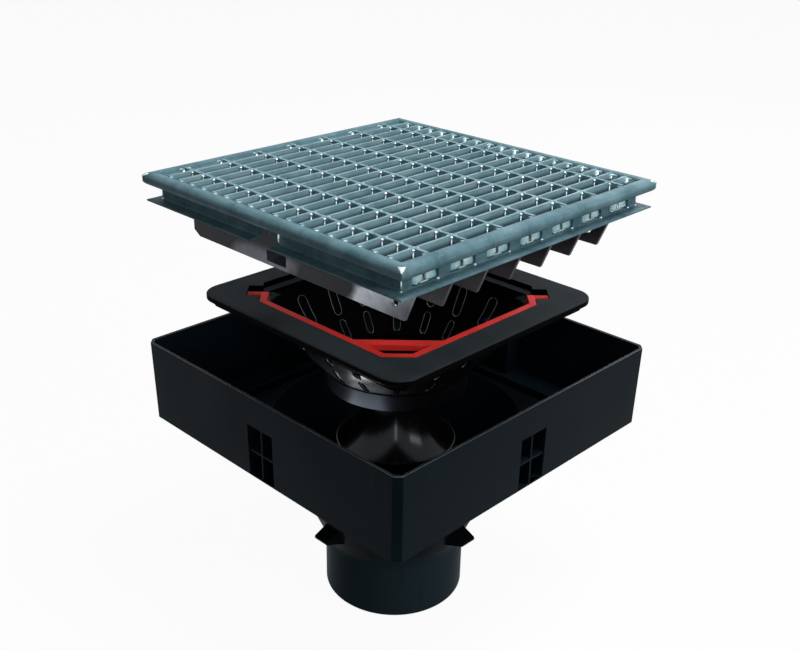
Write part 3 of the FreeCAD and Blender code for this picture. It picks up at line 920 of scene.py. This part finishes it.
@dataclass
class Grating:
    """Pressed mesh grating in its mitred edge."""

    body: str = "drain"
    bearing_count: int = 7
    cross_count: int = 18
    half_bearing: float = 0.0013
    half_cross: float = 0.001
    inner_half: float = 0.1135
    nose_inner: float = 0.118
    nose_crown: float = 0.1225
    nose_radius: float = 0.0045
    web_outer: float = 0.117
    top: float = 0.339
    sill: float = 0.3205
    lintel: float = 0.3293
    half_window: float = 0.011
    dip_slope: float = math.atan2(6.0, 4.5)
    edges: tuple[str, ...] = ("edge_front", "edge_back", "edge_left", "edge_right")
    slot: str = "galvanised_steel"
    rounding: Edges = Edges(width=0.00035, merge=0.00015)
    drip: Bead = Bead((0.0008, 0.0008, -0.0038), (0.0007, 0.0007, 0.0034))
    drip_tilt: float = -0.45
    dot: Bead = Bead((0.0004, 0.0004, -0.0012), (0.0014, 0.0014, 0.0011))
    fillet_depth: float = 0.0008
    fillet_size: Point = (0.003, 0.003, 0.0075)
    pool_depth: float = 0.0032
    pool_shift: float = 0.0012
    pool_flat: Point = (0.0028, 0.0026, 0.0011)
    pool_wide: Point = (0.0028, 0.0042, 0.0011)
    skin_gap: float = 0.0004
    skin_tuck: float = 0.0004
    skin_lap: float = 0.0003
    skin_depth: float = 0.002
    skin_back: float = 0.0005
    nose_bead: Bead = Bead((0.1258, 0.1258, -0.0052), (0.0009, 0.0009, 0.0018))
    seam_beads: tuple[Bead, ...] = (
        Bead((0.0002, 0.0002, -0.0105), (0.0009, 0.0009, 0.0009)),
        Bead((0.0002, 0.0002, -0.0145), (0.0005, 0.0005, 0.0035)),
    )
    foot_bead: Bead = Bead((0.0002, 0.0002, -0.0003), (0.0009, 0.0009, 0.0006))
    notch_bead: Bead = Bead((0.0, -0.0105, 0.004), (0.0012, 0.001, 0.0042))
    plate_bead: Bead = Bead((0.0004, -0.0947, 0.2996), (0.001, 0.001, 0.001))
    sill_beads: tuple[Bead, ...] = (
        Bead((0.0098, 0.0006, 0.0), (0.0012, 0.0012, 0.0012)),
        Bead((-0.002, -0.0009, 0.0006), (0.0075, 0.0007, 0.0006)),
    )

    def dress(self) -> list[Piece]:
        """Makes the edge lengths and bars with their zinc.

        Returns:
            The new pieces.
        """
        frame_zinc, side, fin, mesh = (kind.build() for kind in (FRAME_ZINC, SIDE_PLATE, FIN_PLATE, MESH_ZINC))
        nodes = [(node, frame_zinc) for node in self.edges]
        nodes.append(("bearing_bar_1", side))
        nodes += [(f"bearing_bar_{index + 1}", fin) for index in range(1, self.bearing_count)]
        nodes += [(f"cross_bar_{index + 1:02d}", mesh) for index in range(self.cross_count)]
        return [
            softened(node, node + "_zinc", self.body, self.rounding, [finish]) for node, finish in nodes
        ]

    def bearing_place(self, index: int) -> float:
        """X of a bearing bar's middle plane."""
        return 2 * self.inner_half / self.bearing_count * (index - (self.bearing_count - 1) / 2)

    def cross_place(self, index: int) -> float:
        """Y of a cross bar's middle plane."""
        return 2 * self.inner_half / self.cross_count * (index - (self.cross_count - 1) / 2)

    def crossing_seats(self) -> list[Seat]:
        """Seats the zinc in the four corners of each crossing.

        Returns:
            Place, turn and size of each.
        """
        seats = []
        for i in range(self.bearing_count):
            for j in range(self.cross_count):
                for sx, sy in QUARTERS:
                    x = self.bearing_place(i) + sx * self.half_bearing
                    y = self.cross_place(j) + sy * self.half_cross
                    turn = (0, self.drip_tilt, math.atan2(sy, sx))
                    seats.append(self.drip.seat((x, y, self.top), sx, sy, turn))
                    seats.append(self.dot.seat((x, y, self.top), sx, sy))
        return seats

    def edge_seats(self) -> list[Seat]:
        """Seats the zinc that rounds the cells where the bars meet the edge.

        Returns:
            Place, turn and size of each.
        """
        seats = []
        height = self.top - self.fillet_depth
        for quarter, (sx, sy) in enumerate(QUARTERS):
            turn = (0, 0, quarter * math.pi / 2)
            for j in range(self.cross_count):
                y = self.cross_place(j) + sy * self.half_cross
                seats.append(((-sx * self.nose_inner, y, height), turn, self.fillet_size))
            for i in range(self.bearing_count):
                x = self.bearing_place(i) + sx * self.half_bearing
                seats.append(((x, -sy * self.nose_inner, height), turn, self.fillet_size))
        return seats

    def pool_seats(self) -> list[Seat]:
        """Seats the zinc that lies in the dip beside the bars' ends.

        Returns:
            Place, turn and size of each.
        """
        seats = []
        middle = (self.inner_half + self.nose_inner) / 2
        height, slope = self.top - self.pool_depth, self.dip_slope
        for j in range(self.cross_count):
            y = self.cross_place(j) - self.pool_shift
            for side in (1, -1):
                seats.append(((side * middle, y, height), (0, -side * slope, 0), self.pool_flat))
        for i in range(self.bearing_count):
            x = self.bearing_place(i)
            for side in (1, -1):
                seats.append(((x, side * middle, height), (0, -side * slope, math.pi / 2), self.pool_wide))
        return seats

    def window_seats(self) -> list[Seat]:
        """Seats the zinc skins behind the windows in the edge's front and back, which carry the painted reflection.

        Returns:
            Place, turn and size of each.
        """
        seats = []
        reach = self.half_window - self.skin_gap + self.skin_tuck
        size = (reach, self.skin_depth, self.lintel - self.sill + 2 * self.skin_lap)
        low = self.sill - self.skin_lap
        deep = self.web_outer - self.skin_back
        for i in range(self.bearing_count):
            x = self.bearing_place(i)
            for start in (x - self.half_window - self.skin_tuck, x + self.skin_gap):
                seats.append(((start, -deep, low), LEVEL, size))
                seats.append(((start + reach, deep, low), (0, 0, math.pi), size))
        return seats

    def weld_seats(self) -> list[Seat]:
        """Seats the beads on the mitred corners, the notches, the side plate and the sills, which carry painted
        highlights.

        Returns:
            Place, turn and size of each.
        """
        seats = []
        for sx, sy in QUARTERS:
            x, y = sx * self.web_outer, sy * self.web_outer
            seats.append(self.nose_bead.seat((0, 0, self.top), sx, sy))
            seats += [bead.seat((x, y, self.top), sx, sy) for bead in self.seam_beads]
            seats.append(self.foot_bead.seat((x, y, self.sill), sx, sy))
        seats += [self.notch_bead.seat((side * self.web_outer, 0, self.sill)) for side in (-1, 1)]
        seats.append(self.plate_bead.seat((self.bearing_place(0) - self.half_bearing, 0, 0)))
        for i in range(self.bearing_count):
            for side in (-1, 1):
                sill = (self.bearing_place(i), side * self.web_outer, self.sill)
                seats += [bead.seat(sill, sy=side) for bead in self.sill_beads]
        return seats

    def build(self) -> list[Piece]:
        """Makes the grating and the zinc that has run into its corners, with painted highlights on its beads.

        Returns:
            The new pieces.
        """
        made = self.dress()
        fillet, bead, skin = CornerFillet().build(), round_bead(), WavySkin().build()
        patch = PaintedCornerHighlight(self.nose_crown, self.nose_radius, self.top).build()
        corners = [(LEVEL, (0, 0, quarter * math.pi / 2), EVEN) for quarter in range(len(QUARTERS))]
        beads = ZincBeads()
        painted_highlight = PAINTED_HIGHLIGHT_ZINC.build()
        added = [
            # painted highlights: the crossing, pool, weld and corner beads take the near-white zinc
            beads.build("crossing_zinc", bead, self.crossing_seats(), spread=0.25, seed=3, finish=painted_highlight),
            beads.build("edge_zinc", fillet, self.edge_seats(), spread=0.3, seed=5, finish=POOL_PAINTED_HIGHLIGHT.build()),
            beads.build("pool_zinc", bead, self.pool_seats(), spread=0.5, seed=7, finish=painted_highlight),
            beads.build("window_zinc", skin, self.window_seats(), spread=0.0, seed=9, finish=SKIN_PAINTED_REFLECTION.build()),
            beads.build("weld_zinc", bead, self.weld_seats(), spread=0.2, seed=11, finish=painted_highlight),
            beads.build("corner_zinc", patch, corners, spread=0.0, seed=13, finish=painted_highlight),
        ]
        for shape in (fillet, bead, skin, patch):
            bpy.data.objects.remove(shape)
        for piece in added:
            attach(piece, self.body)
        return made + added


@dataclass
class SiltBucket:
    """Slotted bucket with its bell and bail.

    level, outward and inward are the least parts of a face's normal that point up, away from the axis and towards it.
    """

    body: str = "drain"
    flange_under: float = 0.246
    slot_low: float = 0.1955
    slot_high: float = 0.2355
    rim_radius: float = 0.0003
    bell_foot: float = 0.004
    bell_crown: float = 0.001
    ledge_depth: float = 0.0055
    level: float = 0.3
    outward: float = 0.1
    inward: float = 0.45
    crease: float = 45.0
    merge: float = 0.0001

    def face_finish(self, centre: Vector, normal: Vector) -> int:
        """Picks a face's finish.

        Args:
            centre: the face's middle.
            normal: its normal.

        Returns:
            Index of the finish: 0 on the flange's top, painted lighter; 1 outside the bowl; 2 inside it and on the
                sides, painted darker as shade.
        """
        if centre.z > self.flange_under - self.ledge_depth:
            return 0 if normal.z > self.level else 2
        outward = centre.x * normal.x + centre.y * normal.y
        return 1 if outward > self.outward * math.hypot(centre.x, centre.y) else 2

    def slot_rims(self) -> Piece:
        """Makes the thin glossy rims round the slots' inner edges, light grey to paint the highlight along those
        edges.

        Returns:
            The rims as one piece.
        """
        form = bmesh.new()
        form.from_mesh(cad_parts["bucket"].data)
        bmesh.ops.remove_doubles(form, verts=form.verts, dist=self.merge)
        curve = bpy.data.curves.new("slot_rims", "CURVE")
        curve.dimensions = "3D"
        curve.bevel_depth = self.rim_radius
        curve.bevel_resolution = 1
        for edge in form.edges:
            middle = (edge.verts[0].co + edge.verts[1].co) / 2
            if len(edge.link_faces) != 2 or not self.slot_low < middle.z < self.slot_high:
                continue
            sharp = edge.calc_face_angle(0.0) > math.radians(self.crease)
            if sharp and any(self.faces_in(face) for face in edge.link_faces):
                line = curve.splines.new("POLY")
                line.points.add(1)
                for point, vert in zip(line.points, edge.verts):
                    point.co = (*vert.co, 1)
        form.free()
        rims = plain_mesh(placed("slot_rims_source", curve), "slot_rims")
        rims.data.materials.clear()
        rims.data.materials.append(SLOT_RIM_PAINTED_HIGHLIGHT.build())
        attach(rims, self.body)
        return rims

    def faces_in(self, face: bmesh.types.BMFace) -> bool:
        """Whether a face is part of the bowl's inner wall."""
        centre, normal = face.calc_center_median(), face.normal
        return (centre.x * normal.x + centre.y * normal.y) / math.hypot(centre.x, centre.y) < -self.inward

    def build(self) -> list[Piece]:
        """Makes the bucket, the bell and the bail with their plastics.

        Returns:
            The new pieces.
        """
        # painted light on the flange's top, painted shade inside the bowl and on the sides
        blacks = [FLANGE_PAINTED_LIGHT.build(), GLOSS_BLACK.build(), PAINTED_SHADE_BLACK.build()]
        bucket = softened(
            "bucket", "bucket_moulding", self.body, Edges(width=0.0003, merge=0.0003), blacks,
            self.face_finish,
        )
        low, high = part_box("trap_bell")
        foot, crown = low[2] + self.bell_foot, high[2] - self.bell_crown
        # painted shade on the bell's foot, crown and rounded edges
        bell = softened(
            "trap_bell", "bell_moulding", self.body, Edges(width=0.0004, merge=0.0003, finish=1),
            [BELL_BLACK.build(), FOOT_PAINTED_SHADE.build()], lambda centre, normal: int(not foot <= centre.z <= crown),
        )
        rims = self.slot_rims()
        bail = softened(
            "bail", "bail_moulding", "bail", Edges(width=0.0005, merge=0.0002), [RED.build()],
        )
        return [bucket, rims, bell, bail]


@dataclass
class DrainBody:
    """Moulded tray, funnel and outlet pipe."""

    node: str = "body"
    rim: float = 0.21
    rim_depth: float = 0.001
    tray_foot: float = 0.1465

    def face_finish(self, centre: Vector, normal: Vector) -> int:
        """Index of the finish for a face: 0 on the tray and inside, 2 on the outside of the funnel and pipe, which has
        painted shade on the funnel and painted light on the lower pipe.
        """
        outward = centre.x * normal.x + centre.y * normal.y > 0
        return 2 if outward and centre.z < self.tray_foot else 0

    def build(self) -> list[Piece]:
        """Makes the body with its plastic.

        Returns:
            The new piece.
        """
        blacks = [finish.build() for finish in (BLACK, RIM_PAINTED_HIGHLIGHT, FUNNEL_PAINTED_SHADE_PIPE_LIGHT)]
        made = softened(
            self.node, "body_moulding", "drain", Edges(width=0.0005, merge=0.0003, finish=1), blacks,
            self.face_finish,
        )
        # painted highlight: only the rounded edges on the rim keep the rim finish
        for face in made.data.polygons:
            if face.material_index == 1 and face.center.z < self.rim - self.rim_depth:
                face.material_index = self.face_finish(face.center, face.normal)
        return [made]


@dataclass
class Softbox:
    """One studio lamp that looks at a point."""

    name: str
    place: Point
    width: float
    height: float
    power: float
    aim: Point = (0, 0, 0.25)

    def build(self) -> Piece:
        """Makes the lamp.

        Returns:
            The lamp.
        """
        lamp = bpy.data.lights.new(self.name, "AREA")
        lamp.shape = "RECTANGLE"
        lamp.size = self.width
        lamp.size_y = self.height
        lamp.energy = self.power
        made = placed(self.name, lamp)
        made.location = self.place
        made.rotation_euler = (Vector(self.aim) - Vector(self.place)).to_track_quat("-Z", "Y").to_euler()
        return made


@dataclass
class Studio:
    """White room with soft lamps and the camera of the photograph."""

    ambient: float = 0.06
    floor_half: float = 8.0
    floor_glow: float = 0.95
    floor_seen: float = 0.9
    floor_bounce: float = 0.12
    floor_rough: float = 0.9
    lamps: list[Softbox] = field(default_factory=lambda: [
        Softbox("key", (0.25, -0.62, 2.4), width=0.9, height=0.9, power=34.0),
        Softbox("low", (0.3, -1.7, 1.05), width=0.8, height=0.8, power=10.5),
        Softbox("side", (-1.7, 0.05, 1.05), width=0.12, height=0.25, power=0.18),
        Softbox("strip", (-0.857, -0.84, 0.84), width=0.02, height=0.5, power=1.1, aim=(0, 0, 0.16)),
        Softbox("fill", (-0.085, -0.015, 0.16), width=0.05, height=0.07, power=0.1, aim=(-0.085, -0.015, 0.3)),
        Softbox("back", (1.7, 0.5, 1.0), width=1.0, height=1.0, power=5.0),
    ])
    camera_place: Point = (-0.5031, -0.4933, 0.5430)
    azimuth: float = -45.712
    elevation: float = 24.279
    roll: float = 1.012
    focal_pixels: float = 1044.86
    image_width: float = 800.0
    sensor: float = 36.0
    nearest: float = 0.01

    def seen(self, tree: bpy.types.NodeTree) -> Socket:
        """Adds the test for rays that show the background.

        Args:
            tree: the tree that gets the nodes.

        Returns:
            Output that is 1 for camera, mirror and glass rays.
        """
        path = tree.nodes.new("ShaderNodeLightPath")
        last = path.outputs["Is Camera Ray"]
        for name in ("Is Glossy Ray", "Is Transmission Ray"):
            most = tree.nodes.new("ShaderNodeMath")
            most.operation = "MAXIMUM"
            tree.links.new(last, most.inputs[0])
            tree.links.new(path.outputs[name], most.inputs[1])
            last = most.outputs["Value"]
        return last

    def build_world(self) -> None:
        """White background over a dimmer ambient light."""
        world = bpy.data.worlds.new("studio")
        bpy.context.scene.world = world
        world.use_nodes = True
        tree = world.node_tree
        level = tree.nodes.new("ShaderNodeMapRange")
        level.inputs["To Min"].default_value = self.ambient
        level.inputs["To Max"].default_value = 1.0
        tree.links.new(self.seen(tree), level.inputs["Value"])
        background = tree.nodes["Background"]
        background.inputs["Color"].default_value = (1, 1, 1, 1)
        tree.links.new(level.outputs["Result"], background.inputs["Strength"])

    def build_floor(self) -> Piece:
        """Makes the pale floor that the pipe stands on.

        Returns:
            The floor.
        """
        mesh = bpy.data.meshes.new("floor")
        half = self.floor_half
        mesh.from_pydata([(-half, -half, 0), (half, -half, 0), (half, half, 0), (-half, half, 0)], [], [(0, 1, 2, 3)])
        floor = placed("floor", mesh)
        shader = Shader("pale_floor")
        shown = self.seen(shader.tree)
        shader.feed(shader.surface, {
            "Base Color": shader.remap(shown, end=(self.floor_bounce, self.floor_seen)),
            "Roughness": self.floor_rough,
            "Specular IOR Level": 0.0,
        })
        mix = shader.node("ShaderNodeMixShader", {
            "Fac": shader.maths("MULTIPLY", shown, self.floor_glow),
            1: shader.surface.outputs["BSDF"],
            2: shader.node("ShaderNodeEmission", {}).outputs["Emission"],
        })
        shader.feed(shader.tree.nodes["Material Output"], {"Surface": mix.outputs["Shader"]})
        mesh.materials.append(shader.material)
        return floor

    def build_camera(self) -> Piece:
        """Makes the camera at the photograph's view.

        Returns:
            The camera.
        """
        turn, lift, roll = (math.radians(value) for value in (self.azimuth, self.elevation, self.roll))
        back = Vector((math.sin(turn) * math.cos(lift), -math.cos(turn) * math.cos(lift), math.sin(lift)))
        level = Vector((math.cos(turn), math.sin(turn), 0))
        upright = back.cross(level)
        right = math.cos(roll) * level + math.sin(roll) * upright
        up = math.cos(roll) * upright - math.sin(roll) * level
        lens = bpy.data.cameras.new("camera")
        lens.sensor_width = self.sensor
        lens.lens = self.focal_pixels * self.sensor / self.image_width
        lens.clip_start = self.nearest
        camera = placed("camera", lens)
        camera.matrix_world = Matrix.Translation(self.camera_place) @ Matrix((right, up, back)).transposed().to_4x4()
        bpy.context.scene.camera = camera
        return camera

    def build(self) -> None:
        """Sets up the room, the lamps, the camera and the plain view transform."""
        self.build_world()
        self.build_floor()
        self.build_camera()
        for lamp in self.lamps:
            lamp.build()
        bpy.context.scene.view_settings.view_transform = "Standard"


def main() -> None:
    """Builds the drain's looks and its studio."""
    logging.basicConfig(level=logging.INFO, format="%(name)s: %(message)s")
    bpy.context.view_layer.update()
    for part in (Grating(), SiltBucket(), DrainBody()):
        for piece in part.build():
            log.info("%s has %d faces", piece.name, len(piece.data.polygons))
    Studio().build()


if __name__ == "__main__":
    main()
